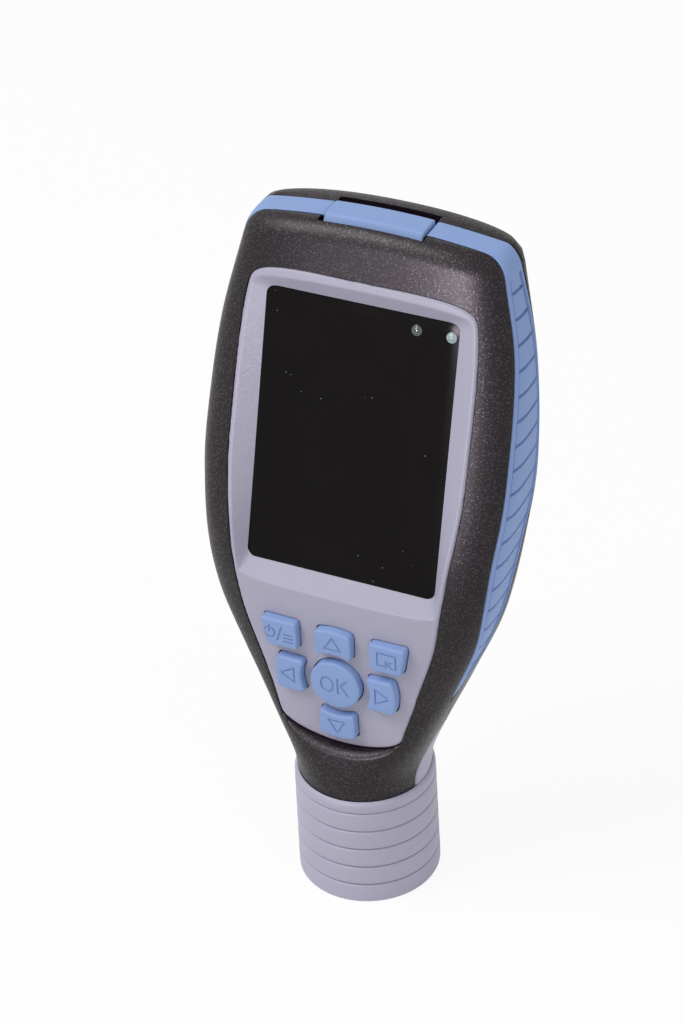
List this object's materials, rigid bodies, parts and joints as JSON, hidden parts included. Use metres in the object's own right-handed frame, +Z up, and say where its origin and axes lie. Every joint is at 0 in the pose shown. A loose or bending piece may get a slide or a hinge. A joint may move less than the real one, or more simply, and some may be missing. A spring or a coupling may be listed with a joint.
{
  "type": "coating thickness gauge",
  "caption": "handheld coating thickness gauge with a bent body, inset display, round-centred keypad, side grip bands and a sprung probe inside a ribbed skirt that it stands on",
  "frame": {"origin": "centre of the skirt's lower rim, on the probe axis, where the gauge stands on the work", "axes": "+Z up along the probe axis, -Y out of the keypad face, +X to the right of someone facing the display"},
  "size_m": [0.072, 0.0453, 0.157],
  "materials": {
    "shell": "fine texture",
    "grip": "soft-touch matt",
    "collar": "satin",
    "window": "polished",
    "dark_part": "moulded",
    "display": "polished",
    "board": "lacquered",
    "mat": "moulded",
    "metal": "plain",
    "lens": "clear",
    "cell": "printed sleeve",
    "bush": "turned",
    "tip": "polished",
    "cable": "film"
  },
  "bodies": {
    "housing": {"front_shell": "shell", "rear_shell": "shell", "battery_cover": "shell", "left_grip_band": "grip", "right_grip_band": "grip", "left_tongue": "collar", "right_tongue": "collar", "front_panel": "collar", "probe_skirt": "collar", "display_window": "window", "display_gasket": "dark_part", "buzzer": "dark_part", "battery_tray": "dark_part", "probe_tube": "dark_part", "lcd_module": "display", "main_board": "board", "keypad_board": "board", "probe_board": "board", "keypad_mat": "mat", "key_domes": "metal", "port_socket": "metal", "hinge_pin": "metal", "battery_contacts": "metal", "cover_screw": "metal", "housing_screws": "metal", "retaining_ring": "metal", "sensor_spring": "metal", "left_status_lens": "lens", "right_status_lens": "lens", "left_cell": "cell", "right_cell": "cell", "guide_bush": "bush", "flat_cable": "cable"},
    "port_cover": {"port_cover": "grip"},
    "sensor_head": {"sensor": "metal", "sensor_tip": "tip"},
    "key_ok": {"key_ok": "grip"},
    "key_up": {"key_up": "grip"},
    "key_down": {"key_down": "grip"},
    "key_left": {"key_left": "grip"},
    "key_right": {"key_right": "grip"},
    "key_power": {"key_power": "grip"},
    "key_return": {"key_return": "grip"}
  },
  "joints": [
    {"name": "port_cover_hinge", "type": "hinge", "parent": "housing", "child": "port_cover", "pos_m": [0, 0.02177, 0.154], "axis": [-1, 0, 0], "range_deg": [0, 90]},
    {"name": "key_ok_press", "type": "slide", "parent": "housing", "child": "key_ok", "axis": [0, 1, 0], "range_m": [0, 0.0008], "stiffness_N_per_m": 600, "springref_m": -0.001},
    {"name": "key_up_press", "type": "slide", "parent": "housing", "child": "key_up", "axis": [0, 1, 0], "range_m": [0, 0.0008], "stiffness_N_per_m": 600, "springref_m": -0.001},
    {"name": "key_down_press", "type": "slide", "parent": "housing", "child": "key_down", "axis": [0, 1, 0], "range_m": [0, 0.0008], "stiffness_N_per_m": 600, "springref_m": -0.001},
    {"name": "key_left_press", "type": "slide", "parent": "housing", "child": "key_left", "axis": [0, 1, 0], "range_m": [0, 0.0008], "stiffness_N_per_m": 600, "springref_m": -0.001},
    {"name": "key_right_press", "type": "slide", "parent": "housing", "child": "key_right", "axis": [0, 1, 0], "range_m": [0, 0.0008], "stiffness_N_per_m": 600, "springref_m": -0.001},
    {"name": "key_power_press", "type": "slide", "parent": "housing", "child": "key_power", "axis": [0, 1, 0], "range_m": [0, 0.0008], "stiffness_N_per_m": 600, "springref_m": -0.001},
    {"name": "key_return_press", "type": "slide", "parent": "housing", "child": "key_return", "axis": [0, 1, 0], "range_m": [0, 0.0008], "stiffness_N_per_m": 600, "springref_m": -0.001},
    {"name": "sensor_slide", "type": "slide", "parent": "housing", "child": "sensor_head", "axis": [0, 0, -1], "range_m": [0, 0.002], "stiffness_N_per_m": 60, "springref_m": 0.002, "deforming": ["sensor_spring"]}
  ]
}
